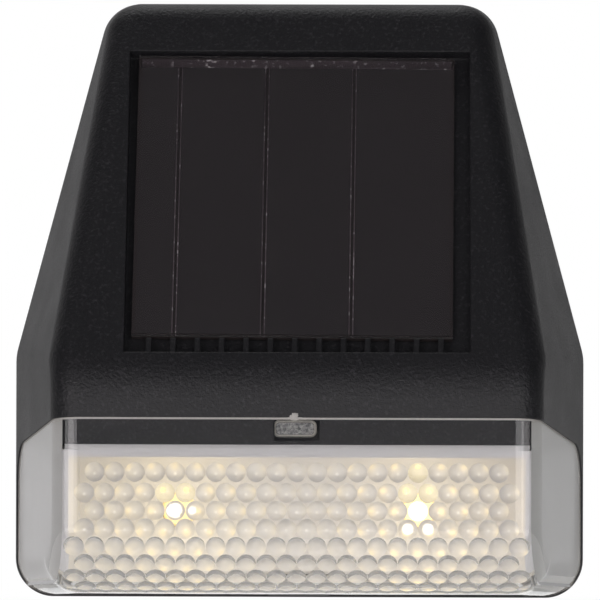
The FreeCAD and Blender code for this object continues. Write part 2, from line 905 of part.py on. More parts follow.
def lamp(x):
    """a round lamp with a domed tip and a flange on the board"""
    start = Vector(x, -board_front, lamp_height)
    tip = Vector(x, -board_front - lamp_length + lamp_radius, lamp_height)
    barrel = rod(lamp_radius, start, tip)
    flange = rod(lamp_flange_radius, start, start + Vector(0, -lamp_flange_height, 0))
    return barrel.fuse([flange, Part.makeSphere(lamp_radius, tip)]).removeSplitter()


def led_leads():
    """the four leads, from the lamps through the board"""
    leads = []
    for x in lead_places():
        start = Vector(x, -board_front, lamp_height)
        leads.append(rod(lead_radius, start, Vector(x, -board_back + lead_tail, lamp_height)))
    return Part.makeCompound(leads)


def board_screws():
    places = mirrored_places((board_screw_spread, lamp_height))
    return Part.makeCompound([moved(small_screw(), x, -board_back, z) for x, z in places])


def driver_chip():
    """the lamp driver, with four legs a side"""
    wide, thick, tall = chip_size
    leg_width, leg_thickness, leg_reach = chip_leg
    low, high = lamp_height - tall / 2, lamp_height + tall / 2
    body = block((-wide / 2, wide / 2), (-board_back, -board_back + thick), (low, high))
    legs = []
    for index in range(4):
        x = (index - 1.5) * chip_leg_pitch
        across = (x - leg_width / 2, x + leg_width / 2)
        up = (low - leg_reach, high + leg_reach)
        legs.append(block(across, (-board_back, -board_back + leg_thickness), up))
    return body.fuse(legs)


def choke_core():
    """the ferrite bobbin of the step-up choke"""
    x = choke_offset
    start = Vector(x, -board_back, lamp_height)
    end = start + Vector(0, choke_length * 0.6, 0)
    step = Vector(0, choke_flange, 0)
    core_rod = rod(choke_core_radius, start, end)
    return core_rod.fuse([rod(choke_radius, start, start + step), rod(choke_radius, end - step, end)])


def choke_winding():
    start = Vector(choke_offset, -board_back + choke_flange, lamp_height)
    end = start + Vector(0, choke_length * 0.6 - 2 * choke_flange, 0)
    outer = rod((choke_radius + choke_core_radius) / 2, start, end)
    return outer.cut(rod(choke_core_radius, start, end))


def switch_dish():
    """the shallow hollow round the slider"""
    return block(
        (-switch_dish_width / 2, switch_dish_width / 2),
        (-switch_dish_depth, 0),
        (switch_height - switch_dish_tall / 2, switch_height + switch_dish_tall / 2),
    )


def switch_window():
    """the slot that the slider moves along, through the cover and the switch's face"""
    half = (slider_width + switch_travel) / 2 + fit_gap
    return block(
        (-half, half),
        (-cover_thickness - contact_thickness, 0),
        (switch_height - slider_tall / 2 - fit_gap, switch_height + slider_tall / 2 + fit_gap),
    )


def switch_body():
    """the slide switch's can, hollow for the slider's foot"""
    can = block(
        (-switch_width / 2, switch_width / 2),
        (-cover_thickness - switch_deep, -cover_thickness),
        (switch_height - switch_tall / 2, switch_height + switch_tall / 2),
    )
    room = [slider_foot(side * switch_travel / 2, fit_gap) for side in (-1, 1)]
    return can.cut(room + [switch_window()])


def slider_foot(x, gap):
    return block(
        (x - slider_width + fit_gap - gap, x + slider_width - fit_gap + gap),
        (-cover_thickness - switch_deep * 0.6 - gap, -cover_thickness - contact_thickness - fit_gap + gap),
        (switch_height - slider_tall * 0.75 - gap, switch_height + slider_tall * 0.75 + gap),
    )


def switch_slider():
    """the slider, at its right-hand end, where the light is on"""
    x = switch_travel / 2
    knob = block(
        (x - slider_width / 2, x + slider_width / 2),
        (-cover_thickness - contact_thickness - 2 * fit_gap, -slider_sink),
        (switch_height - slider_tall / 2, switch_height + slider_tall / 2),
    )
    return knob.fuse(slider_foot(x, 0)).removeSplitter()


def switch_pins():
    start = -cover_thickness - switch_deep
    pins = []
    for index in (-1, 0, 1):
        across = (index * pin_pitch - pin_width / 2, index * pin_pitch + pin_width / 2)
        up = (switch_height - pin_thickness / 2, switch_height + pin_thickness / 2)
        pins.append(block(across, (start - pin_length, start), up))
    return Part.makeCompound(pins)


def hookup_wire(points, name):
    """a wire through points, with each corner as round as its two runs allow"""
    edges = []
    last = points[0]
    radii = []
    for before, here, after in zip(points, points[1:], points[2:]):
        back = (before - here).normalize()
        ahead = (after - here).normalize()
        half = back.getAngle(ahead) / 2
        run = 0.45 * min((before - here).Length, (after - here).Length)
        bend = run * math.tan(half)
        radii.append(bend)
        middle = here + (back + ahead).normalize() * (bend / math.sin(half) - bend)
        edges.append(Part.makeLine(last, here + back * run))
        edges.append(Part.Arc(here + back * run, middle, here + ahead * run).toShape())
        last = here + ahead * run
    edges.append(Part.makeLine(last, points[-1]))
    path = Part.Wire(edges)
    section = Part.Wire([Part.makeCircle(wire_radius, points[0], points[1] - points[0])])
    tube = path.makePipeShell([section], True, False)
    share = tube.Volume / (math.pi * wire_radius**2 * path.Length)
    print(name, "least bend", round(min(radii), 1), "volume share", round(share, 4))
    save(tube, name)


def solder_run(x, height_on_board):
    """the last points of a wire: down behind the board, then forward onto it"""
    stand = -board_back + wire_stand_off
    start = max(parting_rear_height + floor_wall, board_top) + wire_clearance
    return [
        Vector(x, stand, start),
        Vector(x, stand, height_on_board),
        Vector(x, -board_back, height_on_board),
    ]


def panel_wire(x):
    """from the panel's back, in front of the battery, to the board"""
    start = slope.multVec(Vector(x, adhesive_face, panel_middle.z))
    inward = slope.multVec(Vector(x, adhesive_face + panel_wire_run, panel_middle.z))
    front = -compartment_depth - compartment_wall - wire_clearance
    under = battery_height - compartment_half_height - compartment_wall - wire_clearance
    route = [start, inward, Vector(x, front, battery_height), Vector(x, front, under)]
    return route + solder_run(x, board_bottom + panel_wire_lift)


def battery_wire(x):
    """from a battery contact's tail straight down to the board"""
    low = battery_height - compartment_half_height - compartment_wall - tail_length
    solder = board_bottom + battery_wire_lift
    heights = [(battery_middle, low), (battery_middle, solder), (board_back, solder)]
    return [Vector(x, -inward, z) for inward, z in heights]


def switch_wire(x):
    """from a switch pin, in front of the battery, to the board"""
    start = -cover_thickness - switch_deep - pin_length
    front = -compartment_depth - compartment_wall - wire_clearance
    under = battery_height - compartment_half_height - compartment_wall - wire_clearance
    route = [Vector(x, start, switch_height), Vector(x, front, switch_height), Vector(x, front, under)]
    return route + solder_run(x, board_bottom + switch_wire_lift)


os.makedirs("parts", exist_ok=True)
save(housing(), "housing")
save(lens_cover(), "lens_cover")
save(reflector_tray(), "reflector_tray")
save(rear_cover(), "rear_cover")
save(cover_seal(), "cover_seal")
save(cover_screws(), "cover_screws")
save(panel_adhesive(), "panel_adhesive")
save(solar_substrate(), "solar_substrate")
save(solar_cells(), "solar_cells")
save(solar_busbars(), "solar_busbars")
save(solar_cover_sheet(), "solar_cover_sheet")
save(battery_cell(), "battery_cell")
save(battery_contact(), "battery_contact")
save(battery_spring(), "battery_spring")
save(battery_door(), "battery_door")
save(battery_door_screw(), "battery_door_screw")
save(circuit_board(), "circuit_board")
save(lamp(-lamp_spread), "led_left")
save(lamp(lamp_spread), "led_right")
save(led_leads(), "led_leads")
save(board_screws(), "board_screws")
save(driver_chip(), "driver_chip")
save(choke_core(), "choke_core")
save(choke_winding(), "choke_winding")
save(switch_body(), "switch_body")
save(switch_slider(), "switch_slider")
save(switch_pins(), "switch_pins")
for colour, place in zip(("red", "black"), panel_wire_places):
    hookup_wire(panel_wire(place), "panel_wire_" + colour)
for colour, place in zip(("black", "red"), contact_tails()):
    hookup_wire(battery_wire(place), "battery_wire_" + colour)
for colour, place in zip(("red", "black"), (-pin_pitch, 0)):
    hookup_wire(switch_wire(place), "switch_wire_" + colour)
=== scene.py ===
import math

import bmesh
import bpy
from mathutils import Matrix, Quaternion, Vector, geometry, noise


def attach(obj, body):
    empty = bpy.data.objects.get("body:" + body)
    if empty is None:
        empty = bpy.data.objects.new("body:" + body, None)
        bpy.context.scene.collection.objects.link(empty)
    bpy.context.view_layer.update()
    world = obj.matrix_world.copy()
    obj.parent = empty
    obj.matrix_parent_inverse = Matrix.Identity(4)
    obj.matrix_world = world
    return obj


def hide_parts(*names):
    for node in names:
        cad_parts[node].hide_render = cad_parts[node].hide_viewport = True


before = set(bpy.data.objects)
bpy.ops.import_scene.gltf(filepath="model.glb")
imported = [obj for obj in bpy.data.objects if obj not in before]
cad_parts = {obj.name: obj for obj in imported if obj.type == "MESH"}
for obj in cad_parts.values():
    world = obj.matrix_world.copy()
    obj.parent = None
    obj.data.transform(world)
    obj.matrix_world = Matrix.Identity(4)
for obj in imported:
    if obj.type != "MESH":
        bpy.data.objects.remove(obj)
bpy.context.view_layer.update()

# A solar fence light, dressed for its picture. Shapes are written in millimetres, with y from the flat back
# towards the front as negative numbers and heights from the bottom edge, as the maker measures them.
# The frame's own origin is the keyhole, hangHeight above that edge.

mm = 0.001
hangHeight = 80.0
scene = bpy.context.scene


def place(x, y, z):  # millimetres above the bottom edge -> metres from the keyhole
    return Vector((x * mm, y * mm, (z - hangHeight) * mm))


def linear(hexColour, alpha=1.0):  # an sRGB hex colour as the shader wants it
    parts = [int(hexColour[i:i + 2], 16) / 255 for i in (1, 3, 5)]
    return [p / 12.92 if p <= 0.04045 else ((p + 0.055) / 1.055) ** 2.4 for p in parts] + [alpha]


def perMm(size):  # texture scale for a feature of that many millimetres
    return 1 / (size * mm)


def addNode(tree, kind, settings=None, links=None):
    node = tree.nodes.new("ShaderNode" + kind)
    for name, value in (settings or {}).items():
        if isinstance(name, str) and hasattr(node, name):
            setattr(node, name, value)
        else:
            node.inputs[name].default_value = value
    for name, source in (links or {}).items():
        tree.links.new(source, node.inputs[name])
    return node


def startMaterial(name):
    material = bpy.data.materials.new(name)
    material.use_nodes = True
    material.node_tree.nodes.clear()
    return material, material.node_tree


def finishMaterial(tree, shader):
    addNode(tree, "OutputMaterial", links={"Surface": shader})


def dress(nodeName, material):
    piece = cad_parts[nodeName]
    piece.data.materials.clear()
    piece.data.materials.append(material)
    return piece


cameraView = {
    "distance": 1.3,  # in metres: nearly square on, a little from the right
    "aim": (0.0, -13.0, 49.75),
    "azimuth": 0.7,
    "roll": 0.17,
    "frameWidth": 100.5,  # what the picture's width covers at the aim, in mm
    "sensor": 36.0,
}


def placeCamera():
    data = bpy.data.cameras.new("camera")
    data.sensor_width = cameraView["sensor"]
    data.lens = cameraView["sensor"] * cameraView["distance"] / (cameraView["frameWidth"] * mm)
    data.clip_start = 0.05
    camera = bpy.data.objects.new("camera", data)
    scene.collection.objects.link(camera)
    aim = place(*cameraView["aim"])
    turn = math.radians(cameraView["azimuth"])
    camera.location = aim + Vector((math.sin(turn), -math.cos(turn), 0)) * cameraView["distance"]
    look = (aim - camera.location).to_track_quat("-Z", "Y")
    camera.rotation_mode = "QUATERNION"
    camera.rotation_quaternion = look @ Quaternion((0, 0, 1), math.radians(cameraView["roll"]))
    scene.camera = camera


placeCamera()
print("camera placed")

studio = {
    "backdrop": "#ffffff",
    "backWall": "#abaaab",  # the room behind, past the backdrop's sides
    "sideWall": "#303032",  # the unlit room to the left and right
    "frontWall": "#35363d",  # the room in front, at eye level and below
    "ceiling": "#424244",  # the unlit ceiling in front
    "rightShade": 0.62,  # how much light the room's right side keeps
    # where each part of the room starts and is full, as the lean of a direction along an axis
    "ceilingLean": (0.1, 0.7),
    "frontLean": (-0.75, -0.25),
    "backLean": (0.2, 0.75),
    "rightLean": (-0.2, 0.8),
    "glossLean": (0.92, 0.98),  # gloss that faces back so squarely shows the white backdrop
    "clearLean": (0.1, 0.45),  # and so does what is seen through clear plastic towards the back
    "clearShare": 0.95,
    "floorColour": "#e9e8e6",
    "lampAim": (0, -26, 45),  # the light's middle, in mm
    "floorGlow": 0.55,  # how pale the eye sees the floor, on top of what light falls on it
    "floorDrop": 520.0,  # in mm, under the light's bottom edge
    "floorSide": 5.0,  # in m
}
lamps = {  # place in mm, side in m, power in W, colour
    "softboxLeft": {"at": (-650, -1150, -60), "side": 0.8, "power": 4.2, "colour": "#fff9fb"},
    "softboxRight": {"at": (500, -1200, -60), "side": 0.7, "power": 3.3, "colour": "#fdfbfc"},
    "softboxTop": {"at": (-100, 350, 900), "side": 0.6, "power": 1.6, "colour": "#ffffff"},
}
glow = {  # the lit lamps' light on the tray: place in mm from the bottom edge, power in W
    "size": 0.006,  # in m
    "spread": 165,  # in degrees, aimed back at the tray
    "blend": 0.6,
    "colour": "#ffe6a0",
    "leftGlow": {"at": (-20, -34, 12.5), "power": 0.0048},
    "rightGlow": {"at": (20, -34, 12.5), "power": 0.0041},
}


def buildWorld():
    # white for the eye, through clear plastic and for gloss that faces the backdrop; otherwise a room that
    # is pale behind the light, dark at its sides, grey in front of it and dark overhead in front
    world = bpy.data.worlds.new("paleStudio")
    scene.world = world
    world.use_nodes = True
    tree = world.node_tree
    tree.nodes.clear()
    ray = addNode(tree, "LightPath")
    where = addNode(tree, "TexCoord")
    axes = addNode(tree, "SeparateXYZ", links={0: where.outputs["Generated"]})

    def share(axis, lean, low=0.0, high=1.0):  # how far a direction leans along an axis
        settings = {"From Min": lean[0], "From Max": lean[1], "To Min": low, "To Max": high}
        settings["interpolation_type"] = "SMOOTHSTEP"
        return addNode(tree, "MapRange", settings, {"Value": axes.outputs[axis]}).outputs[0]

    front = addNode(
        tree, "Mix", {"data_type": "RGBA", 6: linear(studio["frontWall"]), 7: linear(studio["ceiling"])},
        {0: share("Z", studio["ceilingLean"])},
    )
    sides = addNode(tree, "Mix", {"data_type": "RGBA", 7: linear(studio["sideWall"])},
                    {0: share("Y", studio["frontLean"]), 6: front.outputs[2]})
    room = addNode(tree, "Mix", {"data_type": "RGBA", 7: linear(studio["backWall"])},
                   {0: share("Y", studio["backLean"]), 6: sides.outputs[2]})
    gloss = addNode(tree, "Math", {"operation": "MULTIPLY"},
                    {0: ray.outputs["Is Glossy Ray"], 1: share("Y", studio["glossLean"])})
    bounces = addNode(tree, "Math", {"operation": "ADD"},
                      {0: ray.outputs["Diffuse Depth"], 1: ray.outputs["Glossy Depth"]})
    straight = addNode(tree, "Math", {"operation": "LESS_THAN", 1: 0.5}, {0: bounces.outputs[0]})
    backwards = share("Y", studio["clearLean"], 0.0, studio["clearShare"])
    behind = addNode(tree, "Math", {"operation": "MAXIMUM"}, {0: straight.outputs[0], 1: backwards})
    through = addNode(tree, "Math", {"operation": "MULTIPLY"},
                      {0: ray.outputs["Is Transmission Ray"], 1: behind.outputs[0]})
    clear = addNode(tree, "Math", {"operation": "MAXIMUM"}, {0: through.outputs[0], 1: gloss.outputs[0]})
    seen = addNode(tree, "Math", {"operation": "MAXIMUM"},
                   {0: ray.outputs["Is Camera Ray"], 1: clear.outputs[0]})
    around = addNode(tree, "Background", links={
        "Color": room.outputs[2], "Strength": share("X", studio["rightLean"], 1.0, studio["rightShade"])})
    white = addNode(tree, "Background", {"Color": linear(studio["backdrop"]), "Strength": 1.0})
    both = addNode(tree, "MixShader", links={0: seen.outputs[0], 1: around.outputs[0], 2: white.outputs[0]})
    addNode(tree, "OutputWorld", links={"Surface": both.outputs[0]})


def buildStage():
    side = studio["floorSide"] / 2
    z = place(0, 0, -studio["floorDrop"]).z
    mesh = bpy.data.meshes.new("floor")
    corners = [(-side, -side, z), (side, -side, z), (side, side, z), (-side, side, z)]
    mesh.from_pydata(corners, [], [(0, 1, 2, 3)])
    floor = bpy.data.objects.new("floor", mesh)
    scene.collection.objects.link(floor)
    material, tree = startMaterial("paintedFloor")  # matt pale paint, keeps a soft shadow
    where = addNode(tree, "TexCoord")
    mottle = addNode(tree, "TexNoise", {"Scale": perMm(60), "Detail": 4.0},
                     {"Vector": where.outputs["Object"]})
    bump = addNode(tree, "Bump", {"Strength": 0.05, "Distance": 0.001}, {"Height": mottle.outputs["Fac"]})
    ray = addNode(tree, "LightPath")
    mirrored = addNode(tree, "Math", {"operation": "MAXIMUM"},
                       {0: ray.outputs["Is Glossy Ray"], 1: ray.outputs["Is Transmission Ray"]})
    seen = addNode(tree, "Math", {"operation": "MAXIMUM"},
                   {0: ray.outputs["Is Camera Ray"], 1: mirrored.outputs[0]})
    pale = addNode(tree, "MapRange", {"To Max": studio["floorGlow"]}, {"Value": seen.outputs[0]})
    colour = linear(studio["floorColour"])
    paint = addNode(
        tree, "BsdfPrincipled", {"Base Color": colour, "Roughness": 0.8, "Emission Color": colour},
        {"Normal": bump.outputs[0], "Emission Strength": pale.outputs[0]},
    )
    finishMaterial(tree, paint.outputs[0])
    mesh.materials.append(material)
    aim = place(*studio["lampAim"])
    for name, lamp in lamps.items():
        data = bpy.data.lights.new(name, "AREA")
        data.size = lamp["side"]
        data.energy = lamp["power"]
        data.color = linear(lamp["colour"])[:3]
        light = bpy.data.objects.new(name, data)
        scene.collection.objects.link(light)
        light.location = Vector(lamp["at"]) * mm
        light.rotation_euler = (aim - light.location).to_track_quat("-Z", "Y").to_euler()
    for name in ("leftGlow", "rightGlow"):
        data = bpy.data.lights.new(name, "SPOT")
        data.spot_size = math.radians(glow["spread"])
        data.spot_blend = glow["blend"]
        data.shadow_soft_size = glow["size"]
        data.energy = glow[name]["power"]
        data.color = linear(glow["colour"])[:3]
        light = bpy.data.objects.new(name, data)
        scene.collection.objects.link(light)
        light.location = place(*glow[name]["at"])
        light.rotation_euler = (math.radians(90), 0, 0)
        light.visible_camera = light.visible_glossy = light.visible_transmission = False


buildWorld()
buildStage()
scene.view_settings.view_transform = "Standard"
print("studio built")

lensShape = {
    "halfWidth": 47.5,
    "depth": 52.0,
    "baseDepth": 13.0,  # from here forward the sides draw in and the underside rises
    "sideFlare": 0.21,
    "bellyRise": 0.05,
    "frontRound": 5.0,
    "footRound": 6.4,
    "bellyRound": 12.0,
    "step": 0.25,  # it lies this far inside the black body's surface
    "wall": 1.5,
    "gap": 0.15,  # room to the housing at the rear edge and in the notch
    "topHeight": 30.7,
    "topFall": 0.147,  # the top edge falls rearward
    "topGap": 0.03,  # room under the housing's lower edge
    "rearEdge": 14.5,
    "rearRound": 7.0,
    "edge": 0.32,  # frosted strip along the top edge
    "notchHalf": 5.25,  # the notch in the underside: half width, reach forward, and its sides' draw-in
    "notchReach": 9.0,
    "notchDraw": 0.5,
    "flatSteps": 8,  # faces down the front, and again along the underside
    "arcSteps": 18,  # round the belly
    "cornerSteps": 12,
    "rimSteps": 8,
    "sharpFrom": 24,  # edges sharper than this many degrees stay crisp
    "weld": 0.002,
}
domeShape = {
    "rowCounts": (21, 22, 21, 22, 23, 22, 23, 22, 23, 22, 23),
    "pitch": 3.29,
    "radius": 1.62,
    "rise": 0.5,
    "topRow": 21.7,  # height of the uppermost row, then the steps down to the second and to each next one
    "firstStep": 3.35,
    "rowPitch": 2.9,
    "spokes": 20,
    "rings": (0.34, 0.55, 0.74, 0.89, 1.0),
    "pip": 0.17,  # radius of the tool's mark on each dome, and how far it lies under the pole; the marks in the first pipRows rows carry a painted highlight
    "pipDrop": 0.24,
    "pipRows": 4,
    "flat": 0.001,  # lower than this counts as the plain face
    "clear": 0.25,  # the plain face between domes is meshed this far from their rims
    "fillStep": 1.1,
    "sideMargin": 0.4,
    "notchMargin": 0.5,  # and this far from the inner face's sides and the notch
    "paintedLight": (  # where a lamp's glow is painted on the domes in front of it: row, x, reach, and how strongly
        (2, 19.74, 1.62, "paintedGlowBright"), (3, 18.1, 0.85, "paintedGlowBright"), (3, 21.4, 0.8, "paintedGlowBright"),
        (1, 18.1, 1.62, "paintedGlowWarm"), (1, 21.4, 1.62, "paintedGlowWarm"), (0, 19.74, 1.62, "paintedGlowWarm"),
        (2, -19.9, 1.2, "paintedGlowBright"), (2, -17.0, 0.6, "paintedGlowBright"),
        (1, -18.1, 1.62, "paintedGlowWarm"), (1, -21.4, 1.62, "paintedGlowWarm"),
    ),
}
tabShape = {
    "x": -0.3,
    "half": 3.55,
    "low": 27.4,
    "high": 30.25,
    "round": 1.0,
    "sharpest": 0.15,  # its corners stay at least this round
    "cornerSteps": 6,
    # outlines from the wall rearward, drawn in by so much at that depth: the frame's side, its lip, the pad
    "outlines": ((0.0, 0.02), (0.0, 0.7), (0.2, 1.25), (0.4, 1.25), (0.5, 0.9)),
    "lip": (1, 2),  # the outlines after which the frosted lip runs
}
gateShape = {"x": -0.35, "z": 30.95, "size": (1.55, 0.38, 0.95), "roughness": 0.35, "torn": (1.9, 5.3)}


def sideHalf(y, inset):  # half width of the flared side wall, that far inside the body's surface
    lean = math.hypot(1, lensShape["sideFlare"])
    atBase = lensShape["halfWidth"] - lensShape["frontRound"] + (lensShape["frontRound"] - inset) * lean
    return atBase - lensShape["sideFlare"] * (-y - lensShape["baseDepth"])


def topEdge(y):  # height of the sloping top edge
    lean = math.hypot(1, lensShape["topFall"])
    fall = lensShape["topFall"] * (y + lensShape["depth"])
    return lensShape["topHeight"] - fall - lensShape["topGap"] * lean


def frontPath(inset):  # side view of front, belly and underside
    rise = lensShape["bellyRise"]
    lean = math.hypot(1, rise)
    radius = lensShape["bellyRound"] - inset
    frontY = inset - lensShape["depth"]
    centreY = frontY + radius
    centreZ = (inset + radius) * lean + rise * (-centreY - lensShape["baseDepth"])
    turn = math.pi / 2 - math.atan(rise)
    return {"frontY": frontY, "centreY": centreY, "centreZ": centreZ, "radius": radius, "turn": turn}


def alongPath(path, startHeight, run):
    # (y, z) and the outward normal, at a run down from startHeight
    straight = startHeight - path["centreZ"]
    if run <= straight:
        return (path["frontY"], startHeight - run), (-1.0, 0.0)
    angle = min((run - straight) / path["radius"], path["turn"])
    normal = (-math.cos(angle), -math.sin(angle))
    beyond = max(run - straight - path["radius"] * path["turn"], 0.0)
    y = path["centreY"] + path["radius"] * normal[0] + math.sin(path["turn"]) * beyond
    z = path["centreZ"] + path["radius"] * normal[1] - math.cos(path["turn"]) * beyond
    return (y, z), normal


def pathRuns(path, startHeight, flatSteps, arcSteps):
    # rows down the front, round the belly, to the rear edge
    straight = startHeight - path["centreZ"]
    arc = path["radius"] * path["turn"]
    rearY = -lensShape["rearEdge"] - lensShape["gap"]
    tangentY = path["centreY"] - path["radius"] * math.cos(path["turn"])
    under = (rearY - tangentY) / math.sin(path["turn"])
    runs = [straight * i / flatSteps for i in range(flatSteps)]
    runs += [straight + arc * i / arcSteps for i in range(arcSteps)]
    return runs + [straight + arc + under * i / flatSteps for i in range(flatSteps + 1)]


def cornerArc(path, startHeight, run, inset, steps):
    # section from the flat strip's end round to the side wall
    (y, z), normal = alongPath(path, startHeight, run)
    inward = (-normal[0], -normal[1])
    share = math.acos(min(1.0, -normal[0])) / path["turn"]
    frontRadius = lensShape["frontRound"] - inset
    radius = frontRadius + (lensShape["footRound"] - lensShape["frontRound"]) * share
    flare = lensShape["sideFlare"] * inward[0]
    lean = math.hypot(1, flare)
    centre = sideHalf(y, inset) + flare * radius - radius * lean
    points = []
    for i in range(steps + 1):
        turn = (math.pi / 2 - math.atan(flare)) * i / steps
        deep = radius - radius * math.cos(turn)
        points.append((centre + radius * math.sin(turn), y + inward[0] * deep, z + inward[1] * deep))
    return points


def rimPath(steps, below=0.0):
    # side view of the rear top corner's round, from the rear edge to the top edge
    rearY = -lensShape["rearEdge"] - lensShape["gap"]
    turn = math.pi / 2 - math.atan(lensShape["topFall"])
    reach = lensShape["rearRound"] * math.tan(turn / 2)
    centre = (rearY - lensShape["rearRound"], topEdge(rearY) - reach)
    radius = lensShape["rearRound"] - below
    points = []
    for i in range(steps + 1):
        angle = turn * i / steps
        points.append((centre[0] + radius * math.cos(angle), centre[1] + radius * math.sin(angle)))
    return points


def notchCorners():  # the pry notch's plan, as half widths against y
    gap = lensShape["gap"]
    rearY = -lensShape["rearEdge"] - gap
    half = lensShape["notchHalf"] + gap
    return [(half, rearY), (half - lensShape["notchDraw"], rearY - lensShape["notchReach"])]


def domeCentres():  # each dome's x, its run down from the top row, and its row
    run = 0.0
    for row, count in enumerate(domeShape["rowCounts"]):
        for index in range(count):
            yield (index - (count - 1) / 2) * domeShape["pitch"], run, row
        run += domeShape["firstStep"] if row == 0 else domeShape["rowPitch"]


def buildLens():
    faces = []  # each a list of (x, y, z) in mm, and its finish
    # the last three finishes are painted light: a highlight on the tool's marks, then a lamp's glow, bright
    # and warm, on the domes before each lamp
    polished, domed, frosted, mottled, satin, paintedPipHighlight, paintedGlowBright, paintedGlowWarm = range(8)

    def mirrored(points):
        return [(-x, y, z) for x, y, z in reversed(points)]

    def bothSides(points, finish=polished):
        faces.append((points, finish))
        faces.append((mirrored(points), finish))

    outerInset = lensShape["step"]
    innerInset = lensShape["step"] + lensShape["wall"]
    outer = frontPath(outerInset)
    inner = frontPath(innerInset)
    outerTop = topEdge(outer["frontY"])
    innerTop = topEdge(inner["frontY"])
    flatSteps, arcSteps = lensShape["flatSteps"], lensShape["arcSteps"]
    cornerSteps, rimSteps = lensShape["cornerSteps"], lensShape["rimSteps"]
    runs = pathRuns(outer, outerTop, flatSteps, arcSteps)
    rows = [cornerArc(outer, outerTop, run, outerInset, cornerSteps) for run in runs]
    edgeRow = [(x, y, topEdge(y) - lensShape["edge"]) for x, y, z in rows[0]]
    rows[0] = [(x, y, topEdge(y)) for x, y, z in rows[0]]
    rearY = -lensShape["rearEdge"] - lensShape["gap"]
    rows[-1] = [(x, rearY, z) for x, y, z in rows[-1]]
    lastRound = flatSteps + arcSteps
    strips = [(rows[0], edgeRow, frosted), (edgeRow, rows[1], polished)]
    strips += [(above, below, polished) for above, below in zip(rows[1:], rows[2:])]
    for above, below, finish in strips:
        for i in range(cornerSteps):
            bothSides([above[i], above[i + 1], below[i + 1], below[i]], finish)
    for above, below, finish in strips[:lastRound + 1]:
        a, b = above[0], below[0]
        faces.append(([a, b, (-b[0], b[1], b[2]), (-a[0], a[1], a[2])], finish))

    def underside(y, path):  # height of the flat underside
        tangent, _ = alongPath(path, 0.0, path["radius"] * path["turn"] - path["centreZ"])
        return tangent[1] - (y - tangent[0]) / math.tan(path["turn"])

    def notchPoints(path, sign):
        return [(sign * x, y, underside(y, path)) for x, y in notchCorners()]

    flat = [row[0] for row in rows[lastRound:]]
    right, left = notchPoints(outer, 1), notchPoints(outer, -1)
    faces.append((flat + right + left[::-1] + mirrored(flat), polished))

    # flat side walls, outside and inside, with the frosted strip along the outer top edge
    rim = rimPath(rimSteps)
    outerEdge = [edgeRow[-1]] + [row[-1] for row in rows[1:]]
    outerRim = [(sideHalf(y, outerInset), y, z) for y, z in rim]
    lowered = [(sideHalf(y, outerInset), y, z) for y, z in rimPath(rimSteps, lensShape["edge"])]
    innerRim = [(sideHalf(y, innerInset), y, z) for y, z in rim]
    bothSides(outerEdge + [(outerRim[0][0], rearY, lowered[0][2])] + lowered)
    strip = list(zip(outerRim + [rows[0][-1]], lowered + [edgeRow[-1]]))
    for (above, below), (nextAbove, nextBelow) in zip(strip, strip[1:]):
        bothSides([above, nextAbove, nextBelow, below], frosted)
    innerRuns = pathRuns(inner, innerTop, flatSteps, arcSteps)
    innerEdge = []
    for run in innerRuns:
        (y, z), _ = alongPath(inner, innerTop, run)
        innerEdge.append((sideHalf(y, innerInset), y, z))
    bothSides(innerEdge + innerRim, satin)

    # the rim: its round corner, the rear edge and the top edge
    for i in range(len(rim) - 1):
        bothSides([outerRim[i], outerRim[i + 1], innerRim[i + 1], innerRim[i]], frosted)
    rearOuter = rows[-1][::-1] + [notchPoints(outer, 1)[0]]
    rearInner = [notchPoints(inner, 1)[0], innerEdge[-1]]
    bothSides([outerRim[0]] + rearOuter + rearInner + [innerRim[0]], frosted)
    topOuter = [outerRim[-1]] + rows[0][::-1]
    topInner = [innerEdge[0], innerRim[-1]]
    faces.append((topOuter + mirrored(topOuter) + mirrored(topInner) + topInner, frosted))

    # the notch's walls
    outerNotch = notchPoints(outer, 1) + notchPoints(outer, -1)[::-1]
    innerNotch = notchPoints(inner, 1) + notchPoints(inner, -1)[::-1]
    for i in range(3):
        faces.append(([outerNotch[i], outerNotch[i + 1], innerNotch[i + 1], innerNotch[i]], frosted))

    mesh = bmesh.new()
    made = {}

    def corner(point):
        key = tuple(round(c, 4) for c in point)
        if key not in made:
            made[key] = mesh.verts.new(place(*point))
        return made[key]

    for face, finish in faces:
        corners = []
        for point in face:
            vertex = corner(point)
            if not corners or corners[-1] is not vertex:
                corners.append(vertex)
        if corners[0] is corners[-1]:
            corners.pop()
        mesh.faces.new(corners).material_index = finish
    addDomeSide(mesh, corner, inner, innerTop, innerRuns, innerEdge,
                {"domed": domed, "paintedPipHighlight": paintedPipHighlight, "paintedGlowBright": paintedGlowBright, "paintedGlowWarm": paintedGlowWarm})
    bmesh.ops.remove_doubles(mesh, verts=mesh.verts, dist=lensShape["weld"] * mm)
    addTab(mesh, inner["frontY"], mottled, frosted)
    addGateMark(mesh, outer["frontY"], frosted)
    bmesh.ops.recalc_face_normals(mesh, faces=mesh.faces)
    bmesh.ops.triangulate(mesh, faces=[f for f in mesh.faces if len(f.verts) > 4])
    openEdges = sum(1 for e in mesh.edges if len(e.link_faces) != 2)
    print("lens", len(mesh.faces), "faces,", openEdges, "open edges")
    data = bpy.data.meshes.new("clearLens")
    mesh.to_mesh(data)
    mesh.free()
    for polygon in data.polygons:
        polygon.use_smooth = True
    data.set_sharp_from_angle(angle=math.radians(lensShape["sharpFrom"]))
    lens = bpy.data.objects.new("clearLens", data)
    scene.collection.objects.link(lens)
    weighted = lens.modifiers.new("flatFacesStayFlat", "WEIGHTED_NORMAL")
    weighted.keep_sharp = True
    weighted.weight = 100
    return lens


